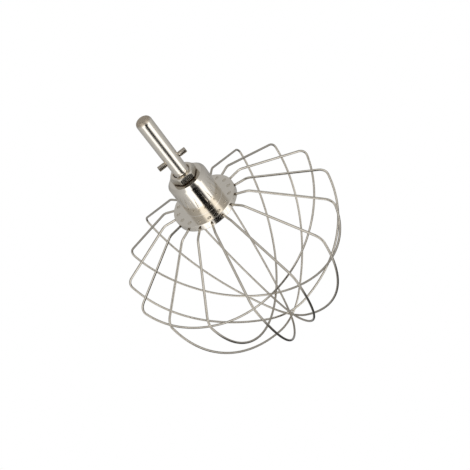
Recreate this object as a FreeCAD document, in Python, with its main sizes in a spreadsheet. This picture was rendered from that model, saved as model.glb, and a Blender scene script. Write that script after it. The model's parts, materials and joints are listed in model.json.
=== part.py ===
"""Wire balloon whisk for a stand mixer, built as separate pieces.

Frame: +Z runs up the drive shaft towards its tip.  The origin is on the shaft's axis, where the
plain shank starts just above the cross pin.  Sizes are in millimetres.
"""
import FreeCAD, Part
import Sketcher
import math
import os

doc = FreeCAD.newDocument("balloon_whisk")

# ---------------------------------------------------------------- sizes
SIZES = {
    # drive shaft and the pin across it
    "shank_dia": 10.0,
    "shank_length": 30.0,
    "tip_round": 3.0,
    "thread_dia": 9.66,
    "foot_chamfer": 0.8,
    "pin_drop": 3.0,
    "pin_hole_dia": 3.0,
    "pin_free_dia": 3.36,
    "pin_flare": 0.7,
    "pin_length": 20.0,
    "pin_wall": 0.7,
    "pin_slot": 0.6,
    "pin_chamfer": 0.3,
    "press_gap": 0.02,
    # lock nut
    "pin_to_nut": 10.2,
    "nut_flats": 15.0,
    "nut_height": 4.6,
    "nut_seat_gap": 0.2,
    "thread_gap": 0.06,
    # hub and its flange
    "hub_dia": 25.8,
    "hub_height": 22.4,
    "hub_chamfer": 1.9,
    "hub_foot_round": 0.4,
    "flange_dia": 43.0,
    "flange_height": 4.5,
    "flange_edge": 0.4,
    "shaft_recess": 3.0,
    # wires
    "wire_dia": 1.5,
    "wire_hole_gap": 0.2,
    "wire_hole_depth": 7.0,
    "neck_reach": 7.0,
    "neck_bend": 7.0,
    "shoulder_radius": 74.5,
    "shoulder_bend": 8.0,
    "shoulder_depth": 30.0,
    "deep_pole": 124.5,
    "deep_side_extra": 35.5,
    "deep_pole_bend": 34.0,
    "shallow_pole": 100.0,
    "shallow_side_extra": 9.5,
    "shallow_pole_bend": 70.0,
    "crossing_gap": 0.1,
    # pins that hold the wire ends
    "lock_pin_dia": 2.4,
    "lock_pin_inset": 3.3,
}

# Loops in the order they lie on each other where they cross, the innermost first.
DEEP_LOOPS = (0, 3, 7, 1, 5)
SHALLOW_LOOPS = (4, 2, 6)
LOOP_COUNT = len(DEEP_LOOPS) + len(SHALLOW_LOOPS)
END_COUNT = 2 * LOOP_COUNT
END_STEP = 360.0 / END_COUNT
HEX_SIDES = 6
HEX_CHAMFER = 30.0
# share of the flat-to-flat radius that stays flat on the nut's faces
NUT_FACE_SHARE = 0.96

sheet = doc.addObject("Spreadsheet::Sheet", "Sizes")
for row, (alias, value) in enumerate(SIZES.items(), start=1):
    sheet.set("A%d" % row, alias)
    sheet.set("B%d" % row, str(value))
    sheet.setAlias("B%d" % row, alias)
doc.recompute()

# Heights that several pieces share, written once as formulas of the sheet.
NUT_TOP = "-(Sizes.pin_drop + Sizes.pin_to_nut)"
NUT_FOOT = "-(Sizes.pin_drop + Sizes.pin_to_nut + Sizes.nut_height)"
HUB_TOP = "-(Sizes.pin_drop + Sizes.pin_to_nut + Sizes.nut_height + Sizes.nut_seat_gap)"
WIRE_PLANE = HUB_TOP + " - Sizes.hub_height - Sizes.flange_height / 2"
FLANGE_FOOT = WIRE_PLANE + " - Sizes.flange_height / 2"
SHAFT_FOOT = FLANGE_FOOT + " + Sizes.shaft_recess"
# Radii that several pieces share.
WIRE_END = "Sizes.flange_dia / 2 - Sizes.wire_hole_depth"
LOCK_PIN_RADIUS = "(Sizes.flange_dia / 2 - Sizes.lock_pin_inset)"


def size(name):
    """Value of one named size."""
    return float(sheet.get(name))


def origin_plane(body, role):
    """One of a body's own origin planes or axes."""
    for feature in body.Origin.OriginFeatures:
        if feature.Role == role:
            return feature
    raise ValueError(role)


def new_body(label, height=None, turn=0.0):
    """A body whose own XY plane stands at a height formula, turned about the shaft's axis."""
    body = doc.addObject("PartDesign::Body", label)
    body.Label = label
    turned = FreeCAD.Rotation(FreeCAD.Vector(0, 0, 1), turn)
    body.Placement = FreeCAD.Placement(FreeCAD.Vector(0, 0, 0), turned)
    if height:
        body.setExpression("Placement.Base.z", height)
    return body


def new_sketch(body, name, role, offset=None):
    """A sketch on one of the body's origin planes, raised along its normal by a formula."""
    sketch = body.newObject("Sketcher::SketchObject", body.Name + "_" + name)
    sketch.AttachmentSupport = (origin_plane(body, role), [""])
    sketch.MapMode = "FlatFace"
    if offset:
        sketch.setExpression("AttachmentOffset.Base.z", offset)
    return sketch


def bind(sketch, name, constraint, formula):
    """A named constraint whose value follows the sheet."""
    index = sketch.addConstraint(Sketcher.Constraint(*constraint))
    sketch.renameConstraint(index, name)
    sketch.setExpression("Constraints." + name, formula)


def add_polygon(sketch, corners):
    """A closed outline of straight sides, side 0 leaving the first corner."""
    for side, corner in enumerate(corners):
        sketch.addGeometry(Part.LineSegment(corner, corners[(side + 1) % len(corners)]), False)
    for side in range(len(corners)):
        following = (side + 1) % len(corners)
        sketch.addConstraint(Sketcher.Constraint("Coincident", side, 2, following, 1))


def add_circle(sketch, diameter, centre_x=None):
    """A circle with its diameter, and its distance from the axis if any, bound to the sheet."""
    start = FreeCAD.Vector(size("flange_dia") / 2 if centre_x else 0, 0, 0)
    radius = size("shank_dia")
    sketch.addGeometry(Part.Circle(start, FreeCAD.Vector(0, 0, 1), radius), False)
    if centre_x:
        sketch.addConstraint(Sketcher.Constraint("PointOnObject", 0, 3, -1))
        bind(sketch, "out", ("DistanceX", -1, 1, 0, 3, start.x), centre_x)
    else:
        sketch.addConstraint(Sketcher.Constraint("Coincident", 0, 3, -1, 1))
    bind(sketch, "across", ("Diameter", 0, 2 * radius), diameter)


def pad(body, sketch, length, name, both_ways=False):
    """Material added from a sketch."""
    feature = body.newObject("PartDesign::Pad", body.Name + "_" + name)
    feature.Profile = sketch
    feature.Midplane = both_ways
    feature.setExpression("Length", length)
    doc.recompute()
    return feature


def pocket(body, sketch, length, name):
    """Material cut from a sketch: to a depth, or right through both ways without one."""
    feature = body.newObject("PartDesign::Pocket", body.Name + "_" + name)
    feature.Profile = sketch
    if length:
        feature.setExpression("Length", length)
    else:
        feature.Type = "ThroughAll"
        feature.Midplane = True
    doc.recompute()
    return feature


def round_edges(shape, radius):
    """Names of the full circles of one radius about an upright axis, the lowest first."""
    names = []
    for index, edge in enumerate(shape.Edges, start=1):
        round_one = edge.Curve.TypeId == "Part::GeomCircle" and edge.isClosed()
        if round_one and abs(edge.Curve.Axis.z) > 0.999 and abs(edge.Curve.Radius - radius) < 1e-4:
            names.append(("Edge%d" % index, edge.Curve.Center.z))
    names.sort(key=lambda item: item[1])
    return [name for name, height in names]


def dress(body, kind, base, edges, prop, formula, name):
    """A fillet or chamfer on named edges."""
    feature = body.newObject("PartDesign::" + kind, body.Name + "_" + name)
    feature.Base = (base, edges)
    feature.setExpression(prop, formula)
    doc.recompute()
    return feature


# ---------------------------------------------------------------- drive shaft
shaft = new_body("drive_shaft")
bar = new_sketch(shaft, "bar", "XY_Plane", SHAFT_FOOT)
add_circle(bar, "Sizes.thread_dia")
threaded = pad(shaft, bar, "-(" + SHAFT_FOOT + ")", "threaded")
shank_circle = new_sketch(shaft, "shank_circle", "XY_Plane")
add_circle(shank_circle, "Sizes.shank_dia")
shank = pad(shaft, shank_circle, "Sizes.shank_length", "shank")
tip_edge = round_edges(shank.Shape, size("shank_dia") / 2)[-1]
tip = dress(shaft, "Fillet", shank, [tip_edge], "Radius", "Sizes.tip_round", "tip")
foot_edge = round_edges(tip.Shape, size("thread_dia") / 2)[0]
foot = dress(shaft, "Chamfer", tip, [foot_edge], "Size", "Sizes.foot_chamfer", "foot")
cross = new_sketch(shaft, "cross", "XZ_Plane")
low = FreeCAD.Vector(0, -size("pin_drop"), 0)
cross.addGeometry(Part.Circle(low, FreeCAD.Vector(0, 0, 1), size("pin_hole_dia") / 2), False)
cross.addConstraint(Sketcher.Constraint("PointOnObject", 0, 3, -2))
bind(cross, "drop", ("DistanceY", 0, 3, -1, 1, size("pin_drop")), "Sizes.pin_drop")
bind(cross, "across", ("Diameter", 0, size("pin_hole_dia")), "Sizes.pin_hole_dia")
pocket(shaft, cross, None, "cross_hole")

# ---------------------------------------------------------------- cross pin
# A rolled spring pin: the hole squeezes its middle, and its free ends stay wider.
pin = new_body("drive_pin", "-Sizes.pin_drop")
half_middle = "Sizes.thread_dia / 2"
half_length = "Sizes.pin_length / 2"
squeezed = "(Sizes.pin_hole_dia / 2 - Sizes.press_gap)"
outline = new_sketch(pin, "outline", "YZ_Plane")
held = size("thread_dia") / 2
end = size("pin_length") / 2
along = [0, held, held + size("pin_flare"), end - size("pin_chamfer"), end]
middle = size("pin_hole_dia") / 2 - size("press_gap")
free = size("pin_free_dia") / 2
radii = [middle, middle, free, free, free - size("pin_chamfer")]
corners = [FreeCAD.Vector(y, radius, 0) for y, radius in zip(along, radii)]
corners = [FreeCAD.Vector(0, 0, 0)] + corners + [FreeCAD.Vector(end, 0, 0)]
add_polygon(outline, corners)
axis_side = len(corners) - 1
outline.addConstraint(Sketcher.Constraint("Coincident", 0, 1, -1, 1))
for side in (1, 3, axis_side):
    outline.addConstraint(Sketcher.Constraint("Horizontal", side))
for side in (0, axis_side - 1):
    outline.addConstraint(Sketcher.Constraint("Vertical", side))
bind(outline, "middle", ("DistanceY", 0, 1, 0, 2, middle), squeezed)
bind(outline, "free", ("DistanceY", -1, 1, 3, 1, free), "Sizes.pin_free_dia / 2")
bind(outline, "held", ("DistanceX", -1, 1, 2, 1, held), half_middle)
bind(outline, "flare", ("DistanceX", 2, 1, 2, 2, size("pin_flare")), "Sizes.pin_flare")
bind(outline, "end", ("DistanceX", -1, 1, axis_side, 1, end), half_length)
bind(outline, "tip_along", ("DistanceX", 4, 1, 4, 2, size("pin_chamfer")), "Sizes.pin_chamfer")
bind(outline, "tip_down", ("DistanceY", 4, 2, 4, 1, size("pin_chamfer")), "Sizes.pin_chamfer")
half_pin = pin.newObject("PartDesign::Revolution", "drive_pin_half")
half_pin.Profile = outline
half_pin.ReferenceAxis = (origin_plane(pin, "Y_Axis"), [""])
half_pin.Angle = 360.0
doc.recompute()
both_halves = pin.newObject("PartDesign::Mirrored", "drive_pin_halves")
both_halves.Originals = [half_pin]
both_halves.MirrorPlane = (origin_plane(pin, "XZ_Plane"), [""])
pin.Tip = both_halves
doc.recompute()
pin_bore = new_sketch(pin, "bore", "XZ_Plane")
add_circle(pin_bore, "Sizes.pin_hole_dia - 2 * Sizes.pin_wall")
pocket(pin, pin_bore, None, "rolled_inside")
gap = new_sketch(pin, "slot", "XZ_Plane")
corners = [(0, -1), (size("pin_free_dia"), -1), (size("pin_free_dia"), 1), (0, 1)]
add_polygon(gap, [FreeCAD.Vector(x, y * size("pin_slot") / 2, 0) for x, y in corners])
for side in (0, 2):
    gap.addConstraint(Sketcher.Constraint("Horizontal", side))
gap.addConstraint(Sketcher.Constraint("Vertical", 1))
gap.addConstraint(Sketcher.Constraint("Symmetric", 3, 1, 3, 2, -1, 1))
bind(gap, "reach", ("DistanceX", 0, 1, 0, 2, size("pin_free_dia")), "Sizes.pin_free_dia")
bind(gap, "width", ("DistanceY", 1, 1, 1, 2, size("pin_slot")), "Sizes.pin_slot")
pocket(pin, gap, None, "rolled_slot")


# ---------------------------------------------------------------- lock nut
def part_object(kind, name, sizes):
    """A primitive or boolean with its sizes bound to the sheet."""
    made = doc.addObject("Part::" + kind, name)
    for prop, formula in sizes.items():
        made.setExpression(prop, formula)
    return made


NUT_RADIUS = "Sizes.nut_flats / 2"
FACE_RADIUS = "%s * %s" % (NUT_RADIUS, NUT_FACE_SHARE)
SPREAD_RADIUS = "%s + Sizes.nut_height / tan(%s deg)" % (FACE_RADIUS, HEX_CHAMFER)
nut_hex = part_object("Prism", "nut_hexagon", {
    "Circumradius": NUT_RADIUS + " / cos(30 deg)",
    "Height": "Sizes.nut_height",
    "Placement.Base.z": NUT_FOOT,
})
nut_hex.Polygon = HEX_SIDES
nut_hex.Placement.Rotation = FreeCAD.Rotation(FreeCAD.Vector(0, 0, 1), 180.0 / HEX_SIDES)
nut_cones = []
for name, low, high in (("nut_upper_cone", SPREAD_RADIUS, FACE_RADIUS),
                        ("nut_lower_cone", FACE_RADIUS, SPREAD_RADIUS)):
    nut_cones.append(part_object("Cone", name, {
        "Radius1": low,
        "Radius2": high,
        "Height": "Sizes.nut_height",
        "Placement.Base.z": NUT_FOOT,
    }))
nut_blank = doc.addObject("Part::MultiCommon", "nut_blank")
nut_blank.Shapes = [nut_hex] + nut_cones
nut_hole = part_object("Cylinder", "nut_hole", {
    "Radius": "Sizes.thread_dia / 2 + Sizes.thread_gap",
    "Height": "3 * Sizes.nut_height",
    "Placement.Base.z": NUT_FOOT + " - Sizes.nut_height",
})
nut = doc.addObject("Part::Cut", "lock_nut")
nut.Base = nut_blank
nut.Tool = nut_hole
nut.Label = "lock_nut"

# ---------------------------------------------------------------- hub with its flange
hub = new_body("hub", WIRE_PLANE, END_STEP / 2)
flange_circle = new_sketch(hub, "flange_circle", "XY_Plane")
add_circle(flange_circle, "Sizes.flange_dia")
flange = pad(hub, flange_circle, "Sizes.flange_height", "flange", both_ways=True)
flange_rims = round_edges(flange.Shape, size("flange_dia") / 2)
flange_edges = dress(hub, "Chamfer", flange, flange_rims, "Size", "Sizes.flange_edge", "flange_edges")
barrel_circle = new_sketch(hub, "barrel_circle", "XY_Plane", "Sizes.flange_height / 2")
add_circle(barrel_circle, "Sizes.hub_dia")
barrel = pad(hub, barrel_circle, "Sizes.hub_height", "barrel")
root_edge, crown_edge = round_edges(barrel.Shape, size("hub_dia") / 2)
root = dress(hub, "Fillet", barrel, [root_edge], "Radius", "Sizes.hub_foot_round", "root")
crown_edge = round_edges(root.Shape, size("hub_dia") / 2)[-1]
dress(hub, "Chamfer", root, [crown_edge], "Size", "Sizes.hub_chamfer", "crown")
bore_circle = new_sketch(hub, "bore_circle", "XY_Plane")
add_circle(bore_circle, "Sizes.thread_dia + 2 * Sizes.thread_gap")
pocket(hub, bore_circle, None, "bore")
wire_circle = new_sketch(hub, "wire_circle", "YZ_Plane", "Sizes.flange_dia / 2")
add_circle(wire_circle, "Sizes.wire_dia + 2 * Sizes.wire_hole_gap")
wire_hole = pocket(hub, wire_circle, "Sizes.wire_hole_depth", "wire_hole")
pin_seat = new_sketch(hub, "pin_seat", "XY_Plane", "Sizes.flange_height / 2")
add_circle(pin_seat, "Sizes.lock_pin_dia", LOCK_PIN_RADIUS)
lock_hole = pocket(hub, pin_seat, "Sizes.flange_height / 2", "lock_hole")
ring = hub.newObject("PartDesign::PolarPattern", "hub_ring_of_holes")
ring.Originals = [wire_hole, lock_hole]
ring.Axis = (origin_plane(hub, "Z_Axis"), [""])
ring.Angle = 360.0
ring.Occurrences = END_COUNT
hub.Tip = ring
doc.recompute()


# ---------------------------------------------------------------- wire loops
def draw_half_loop(sketch, family, layer):
    """Centre line of half a loop, from inside the rim out, down and round to the pole."""
    pole_depth = size(family + "_pole") + layer * (size("wire_dia") + size("crossing_gap"))
    inner = size("flange_dia") / 2 - size("wire_hole_depth")
    neck = size("flange_dia") / 2 + size("neck_reach")
    neck_bend = size("neck_bend")
    bend = size("shoulder_bend")
    wide = size("shoulder_radius")
    down = size("shoulder_depth")
    side = wide + size(family + "_side_extra")
    pole_bend = size(family + "_pole_bend")
    # the sloping straight touches the neck's bend and the shoulder's bend
    run = wide - bend - neck
    fall = down - neck_bend
    slope = math.acos((bend - neck_bend) / math.hypot(run, fall)) - math.atan2(run, fall)
    normal = FreeCAD.Vector(math.sin(slope), math.cos(slope), 0)
    neck_centre = FreeCAD.Vector(neck, -neck_bend, 0)
    bend_centre = FreeCAD.Vector(wide - bend, -down, 0)
    # the long side arc touches the shoulder's bend and the pole's bend from outside
    pole_centre = FreeCAD.Vector(0, pole_bend - pole_depth, 0)
    between = bend_centre - pole_centre
    to_pole = side - pole_bend
    to_bend = side - bend
    corner = (to_pole ** 2 + between.Length ** 2 - to_bend ** 2) / (2 * to_pole * between.Length)
    turn = math.atan2(between.y, between.x) + math.acos(corner)
    side_centre = pole_centre + FreeCAD.Vector(math.cos(turn), math.sin(turn), 0) * to_pole
    leave = math.atan2(bend_centre.y - side_centre.y, bend_centre.x - side_centre.x)
    meet = math.atan2(pole_centre.y - side_centre.y, pole_centre.x - side_centre.x)
    quarter = math.pi / 2

    def arc(centre, radius, first, last):
        return Part.ArcOfCircle(Part.Circle(centre, FreeCAD.Vector(0, 0, 1), radius), first, last)

    sketch.addGeometry([
        Part.LineSegment(FreeCAD.Vector(inner, 0, 0), FreeCAD.Vector(neck, 0, 0)),
        arc(neck_centre, neck_bend, quarter - slope, quarter),
        Part.LineSegment(neck_centre + normal * neck_bend, bend_centre + normal * bend),
        arc(bend_centre, bend, leave, quarter - slope),
        arc(side_centre, side, meet, leave),
        arc(pole_centre, pole_bend, -quarter, meet),
    ], False)
    stub, neck_arc, slant, shoulder_arc, side_arc, pole_arc = range(6)
    joins = ((stub, 2, neck_arc, 2), (neck_arc, 1, slant, 1), (slant, 2, shoulder_arc, 2),
             (shoulder_arc, 1, side_arc, 2), (side_arc, 1, pole_arc, 2))
    for first, first_end, second, second_end in joins:
        sketch.addConstraint(Sketcher.Constraint("Tangent", first, first_end, second, second_end))
    sketch.addConstraint(Sketcher.Constraint("PointOnObject", stub, 1, -1))
    sketch.addConstraint(Sketcher.Constraint("Horizontal", stub))
    sketch.addConstraint(Sketcher.Constraint("PointOnObject", pole_arc, 3, -2))
    sketch.addConstraint(Sketcher.Constraint("PointOnObject", pole_arc, 1, -2))
    measured = (
        ("inner", ("DistanceX", -1, 1, stub, 1, inner), WIRE_END),
        ("neck", ("DistanceX", -1, 1, stub, 2, neck), "Sizes.flange_dia / 2 + Sizes.neck_reach"),
        ("wide", ("DistanceX", -1, 1, shoulder_arc, 3, wide - bend),
         "Sizes.shoulder_radius - Sizes.shoulder_bend"),
        ("down", ("DistanceY", shoulder_arc, 3, -1, 1, down), "Sizes.shoulder_depth"),
        ("pole", ("DistanceY", pole_arc, 1, -1, 1, pole_depth),
         "Sizes.%s_pole + %d * (Sizes.wire_dia + Sizes.crossing_gap)" % (family, layer)),
        ("neck_bend", ("Radius", neck_arc, neck_bend), "Sizes.neck_bend"),
        ("bend", ("Radius", shoulder_arc, bend), "Sizes.shoulder_bend"),
        ("side_bend", ("Radius", side_arc, side),
         "Sizes.shoulder_radius + Sizes.%s_side_extra" % family),
        ("pole_bend", ("Radius", pole_arc, pole_bend), "Sizes.%s_pole_bend" % family),
    )
    for name, constraint, formula in measured:
        bind(sketch, name, constraint, formula)


def make_loop(number, layer, family):
    """One bent wire, both halves, with its pole a few wire thicknesses below the first loop's."""
    body = new_body("wire_loop_%d" % (number + 1), WIRE_PLANE, (number + 0.5) * END_STEP)
    path = new_sketch(body, "path", "XZ_Plane")
    draw_half_loop(path, family, layer)
    section = new_sketch(body, "section", "YZ_Plane", WIRE_END)
    add_circle(section, "Sizes.wire_dia")
    doc.recompute()
    half = body.newObject("PartDesign::AdditivePipe", body.Name + "_half")
    half.Profile = section
    half.Spine = path
    doc.recompute()
    whole = body.newObject("PartDesign::Mirrored", body.Name + "_whole")
    whole.Originals = [half]
    whole.MirrorPlane = (origin_plane(body, "YZ_Plane"), [""])
    body.Tip = whole
    doc.recompute()
    return body


loops = []
for order, family in ((DEEP_LOOPS, "deep"), (SHALLOW_LOOPS, "shallow")):
    for layer, number in enumerate(order):
        loops.append(make_loop(number, layer, family))

# ---------------------------------------------------------------- pins over the wire ends
lock_pins = []
for number in range(END_COUNT):
    angle = (number + 0.5) * END_STEP
    lock_pins.append(part_object("Cylinder", "wire_lock_pin_%d" % (number + 1), {
        "Radius": "Sizes.lock_pin_dia / 2",
        "Height": "Sizes.flange_height / 2 - Sizes.wire_dia / 2",
        "Placement.Base.x": "%s * cos(%s deg)" % (LOCK_PIN_RADIUS, angle),
        "Placement.Base.y": "%s * sin(%s deg)" % (LOCK_PIN_RADIUS, angle),
        "Placement.Base.z": WIRE_PLANE + " + Sizes.wire_dia / 2",
    }))
pin_ring = doc.addObject("Part::Compound", "wire_lock_pins")
pin_ring.Links = lock_pins
pin_ring.Label = "wire_lock_pins"
doc.recompute()

# ---------------------------------------------------------------- checks and export
for thing in doc.Objects:
    if "Invalid" in thing.State or "Error" in thing.State:
        raise RuntimeError("feature failed: " + thing.Name)

os.makedirs("parts", exist_ok=True)
for piece in [shaft, pin, nut, hub] + loops + [pin_ring]:
    if piece.Shape.isNull() or not piece.Shape.isValid():
        raise RuntimeError("shape failed: " + piece.Label)
    piece.Shape.exportStep("parts/%s.step" % piece.Label)
    print(piece.Label, len(piece.Shape.Solids), round(piece.Shape.Volume, 2))
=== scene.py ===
# %% [markdown]
# # A wire balloon whisk for a stand mixer
# The whisk hangs from a polished shaft. A pin across the shaft takes the drive, a thin nut locks the
# whisk's height, and a turned hub with a flange holds both ends of eight bent wires. Everything is bare
# metal, so most of its look comes from clean round shapes, fine tool marks and what it reflects.
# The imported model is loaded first: it gives the places, the joints and the sizes that the looks follow.

# %% Load the fixed frame
import bpy
import bmesh
import json
import math
from mathutils import Matrix, Vector


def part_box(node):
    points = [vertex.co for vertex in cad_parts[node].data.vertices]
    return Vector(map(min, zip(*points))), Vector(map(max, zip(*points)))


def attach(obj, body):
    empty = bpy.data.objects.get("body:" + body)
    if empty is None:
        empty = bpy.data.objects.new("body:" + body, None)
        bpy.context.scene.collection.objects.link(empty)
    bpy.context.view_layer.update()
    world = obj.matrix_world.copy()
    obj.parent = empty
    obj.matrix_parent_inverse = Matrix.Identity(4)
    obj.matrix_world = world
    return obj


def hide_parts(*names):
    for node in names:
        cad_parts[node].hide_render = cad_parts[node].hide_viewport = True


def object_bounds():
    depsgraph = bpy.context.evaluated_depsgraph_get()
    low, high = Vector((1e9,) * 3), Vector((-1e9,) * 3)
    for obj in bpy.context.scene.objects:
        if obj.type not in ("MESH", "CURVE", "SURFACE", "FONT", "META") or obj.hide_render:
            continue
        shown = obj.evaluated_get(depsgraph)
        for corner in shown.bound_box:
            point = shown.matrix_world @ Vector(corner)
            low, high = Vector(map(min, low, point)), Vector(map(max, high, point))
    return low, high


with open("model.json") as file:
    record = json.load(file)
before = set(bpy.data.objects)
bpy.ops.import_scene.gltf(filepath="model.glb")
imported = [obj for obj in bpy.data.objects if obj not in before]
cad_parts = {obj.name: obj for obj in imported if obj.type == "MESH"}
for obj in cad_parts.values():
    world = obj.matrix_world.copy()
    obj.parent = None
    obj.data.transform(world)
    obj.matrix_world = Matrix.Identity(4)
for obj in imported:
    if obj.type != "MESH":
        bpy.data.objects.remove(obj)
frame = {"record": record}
cad_low, cad_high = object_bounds()
MM = 0.001
MICRON = MM / 1000
print("CAD box in mm", [round(side / MM, 1) for side in cad_high - cad_low])

# %% [markdown]
# Sizes come from the model where it can tell them: the box of each piece gives its heights and widths,
# and the record's mounts give the height of the cross pin. The few sizes that a box can't show, such as
# the hub's barrel above its flange, are named here once.

# %% Sizes of the pieces
shaft_low, shaft_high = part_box("drive_shaft")
pin_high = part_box("drive_pin")[1]
nut_low, nut_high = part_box("lock_nut")
hub_low, hub_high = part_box("hub")
mounts = {mount["name"]: mount for mount in frame["record"]["mounts"]}

SHANK_RADIUS = shaft_high.x
THREAD_RADIUS = 4.83 * MM
BORE_RADIUS = 4.89 * MM
PIN_HEIGHT = mounts["cross_pin_right"]["pos_m"][2]
PIN_RADIUS = pin_high.z - PIN_HEIGHT
PIN_HOLE_RADIUS = 1.5 * MM
FLANGE_RADIUS = (hub_high.y - hub_low.y) / 2
FLANGE_HEIGHT = 4.5 * MM
FLANGE_TOP = hub_low.z + FLANGE_HEIGHT
BARREL_RADIUS = 12.9 * MM
WIRE_PLANE = hub_low.z + FLANGE_HEIGHT / 2
WIRE_RADIUS = 0.75 * MM
WIRE_HOLE_RADIUS = 0.95 * MM
WIRE_HOLE_DEPTH = 7.0 * MM
LOCK_PIN_RADIUS = 1.2 * MM
LOCK_PIN_INSET = 3.3 * MM
LOCK_PIN_RING = FLANGE_RADIUS - LOCK_PIN_INSET
LOOP_COUNT = 8
END_STEP = math.tau / (2 * LOOP_COUNT)
print("shaft", round((shaft_high.z - shaft_low.z) / MM, 1), "mm long, flange",
      round(2 * FLANGE_RADIUS / MM, 1), "mm across")

# %% [markdown]
# Materials and Geometry Nodes are both node trees, and both read best as sums and products. `Value` wraps
# a socket, so that writing `1 - mask * 0.3` adds the Math nodes. `Recipe` adds any other node from its
# type, its settings and the values or links of its sockets.

# %% Node helpers
class Value:
    """An output socket that takes part in sums."""

    def __init__(self, recipe, socket):
        self.recipe = recipe
        self.socket = socket

    def __add__(self, other):
        return self.recipe.combine("ADD", self, other)

    def __radd__(self, other):
        return self.recipe.combine("ADD", other, self)

    def __sub__(self, other):
        return self.recipe.combine("SUBTRACT", self, other)

    def __rsub__(self, other):
        return self.recipe.combine("SUBTRACT", other, self)

    def __mul__(self, other):
        return self.recipe.combine("MULTIPLY", self, other)

    def __rmul__(self, other):
        return self.recipe.combine("MULTIPLY", other, self)


class Recipe:
    """A node tree under construction."""

    def __init__(self, tree):
        self.tree = tree

    def plug(self, socket, value):
        if isinstance(value, Value):
            self.tree.links.new(value.socket, socket)
        else:
            socket.default_value = value

    def node(self, kind, settings=None, values=None, output=0):
        made = self.tree.nodes.new(kind)
        for name, setting in (settings or {}).items():
            setattr(made, name, setting)
        for name, value in (values or {}).items():
            self.plug(made.inputs[name], value)
        return Value(self, made.outputs[output])

    def combine(self, operation, first, second=0.0):
        """A Math node. Functions of one value, such as COSINE, leave the second out."""
        return self.node("ShaderNodeMath", {"operation": operation}, {0: first, 1: second})


# %% [markdown]
# A metal starts as a Principled shader with its Metallic at one. Its colour is what it does to a
# reflection, and its roughness how far the reflection blurs. `Metal` adds what the finishes share: noise,
# a ramp that sharpens noise or a distance into marks, and a blend of two tones. A noise is spaced by the
# stretch of its coordinates, which is about the number of its marks in a metre along each axis.

# %% Metal helper
class Metal(Recipe):
    """One metal finish, built round a Principled shader."""

    def __init__(self, name):
        self.material = bpy.data.materials.new(name)
        self.material.use_nodes = True
        super().__init__(self.material.node_tree)
        self.shader = self.tree.nodes["Principled BSDF"]
        self.shader.inputs["Metallic"].default_value = 1.0

    def place(self, stretch=(1, 1, 1)):
        """Object coordinates in metres, each axis scaled."""
        coordinates = self.node("ShaderNodeTexCoord", output="Object")
        return self.node("ShaderNodeMapping", {}, {"Vector": coordinates, "Scale": stretch})

    def noise(self, vector, detail=2.0):
        return self.node("ShaderNodeTexNoise", {}, {
            "Vector": vector, "Scale": 1.0, "Detail": detail})

    def round_axis(self, place):
        """Distance from the object's axis, and height."""
        flat = self.node("ShaderNodeVectorMath", {"operation": "MULTIPLY"}, {0: place, 1: (1, 1, 0)})
        away = self.node("ShaderNodeVectorMath", {"operation": "LENGTH"}, {0: flat}, "Value")
        return away, self.node("ShaderNodeSeparateXYZ", {}, {0: place}, "Z")

    def marks(self, factor, start, end):
        """Nothing at start, a full mark at end. The end may be the smaller of the two."""
        return self.node("ShaderNodeMapRange", {"interpolation_type": "SMOOTHSTEP"}, {
            "Value": factor, "From Min": start, "From Max": end})

    def tones(self, factor, first, second):
        """A blend of two colours."""
        made = self.tree.nodes.new("ShaderNodeMix")
        made.data_type = "RGBA"
        factor_socket, first_socket, second_socket = [s for s in made.inputs if s.enabled]
        self.plug(factor_socket, factor)
        self.plug(first_socket, first if isinstance(first, Value) else (*first, 1.0))
        self.plug(second_socket, second if isinstance(second, Value) else (*second, 1.0))
        return Value(self, [s for s in made.outputs if s.enabled][0])

    def finish(self, colour, roughness, height, depth):
        """Wires the shader. depth is how deep the marks in height are, in metres."""
        self.plug(self.shader.inputs["Base Color"], colour)
        self.plug(self.shader.inputs["Roughness"], roughness)
        bump = self.node("ShaderNodeBump", {}, {"Height": height, "Distance": depth, "Strength": 1.0})
        self.plug(self.shader.inputs["Normal"], bump)
        print("finish", self.material.name, "with", len(self.tree.nodes), "nodes")
        return self.material


# %% [markdown]
# The shaft is ground and polished, so it mirrors the room in clean stripes. What breaks the mirror is
# small: rings from the grinding wheel, hair scratches along the axis from pushing it into the drive
# socket, and a faint haze from handling. Noise becomes rings where it changes fast along Z and slowly
# across, and scratches where it changes fast across and slowly along. The tip is painted darker and
# browner than the rest, a painted shade on its rounded end.

# %% Polished shank steel
SHANK_TONES = ((0.83, 0.785, 0.705), (0.75, 0.705, 0.625))
TIP_SHADE_BROWN = (0.50, 0.43, 0.34)


def polished_steel():
    metal = Metal("polished_steel")
    rings = metal.noise(metal.place((30, 30, 7000)), 3.0)
    scratches = metal.marks(metal.noise(metal.place((2600, 2600, 40))), 0.66, 0.74)
    haze = metal.noise(metal.place((90, 90, 60)), 4.0)
    height = metal.node("ShaderNodeSeparateXYZ", {}, {0: metal.place()}, "Z")
    # The tip's brown is painted shade that darkens the rounded end.
    tip_shade = metal.marks(height + haze * (1.5 * MM), shaft_high.z - 1.6 * MM, shaft_high.z - 0.2 * MM)
    colour = metal.tones(haze, *SHANK_TONES)
    colour = metal.tones(tip_shade, colour, TIP_SHADE_BROWN)
    roughness = 0.17 + haze * 0.07 + scratches * 0.06 + rings * 0.03 + tip_shade * 0.2
    return metal.finish(colour, roughness, rings * 0.5 - scratches * 0.5, 0.6 * MICRON)


shank_finish = polished_steel()

# %% [markdown]
# The hub is turned on a lathe, and the tool leaves rings round the barrel and circles on the flange.
# Both come from one number, the distance from the axis plus a share of the height: it changes along the
# barrel and across the flange, but never round the axis, so a one-dimensional noise of it draws every
# tool mark. Shade is painted into the colour in two places: a thin brown ring of painted shade in the
# seam round each lock pin, and a painted shadow on the hub's top round the edge of the nut.

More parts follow.
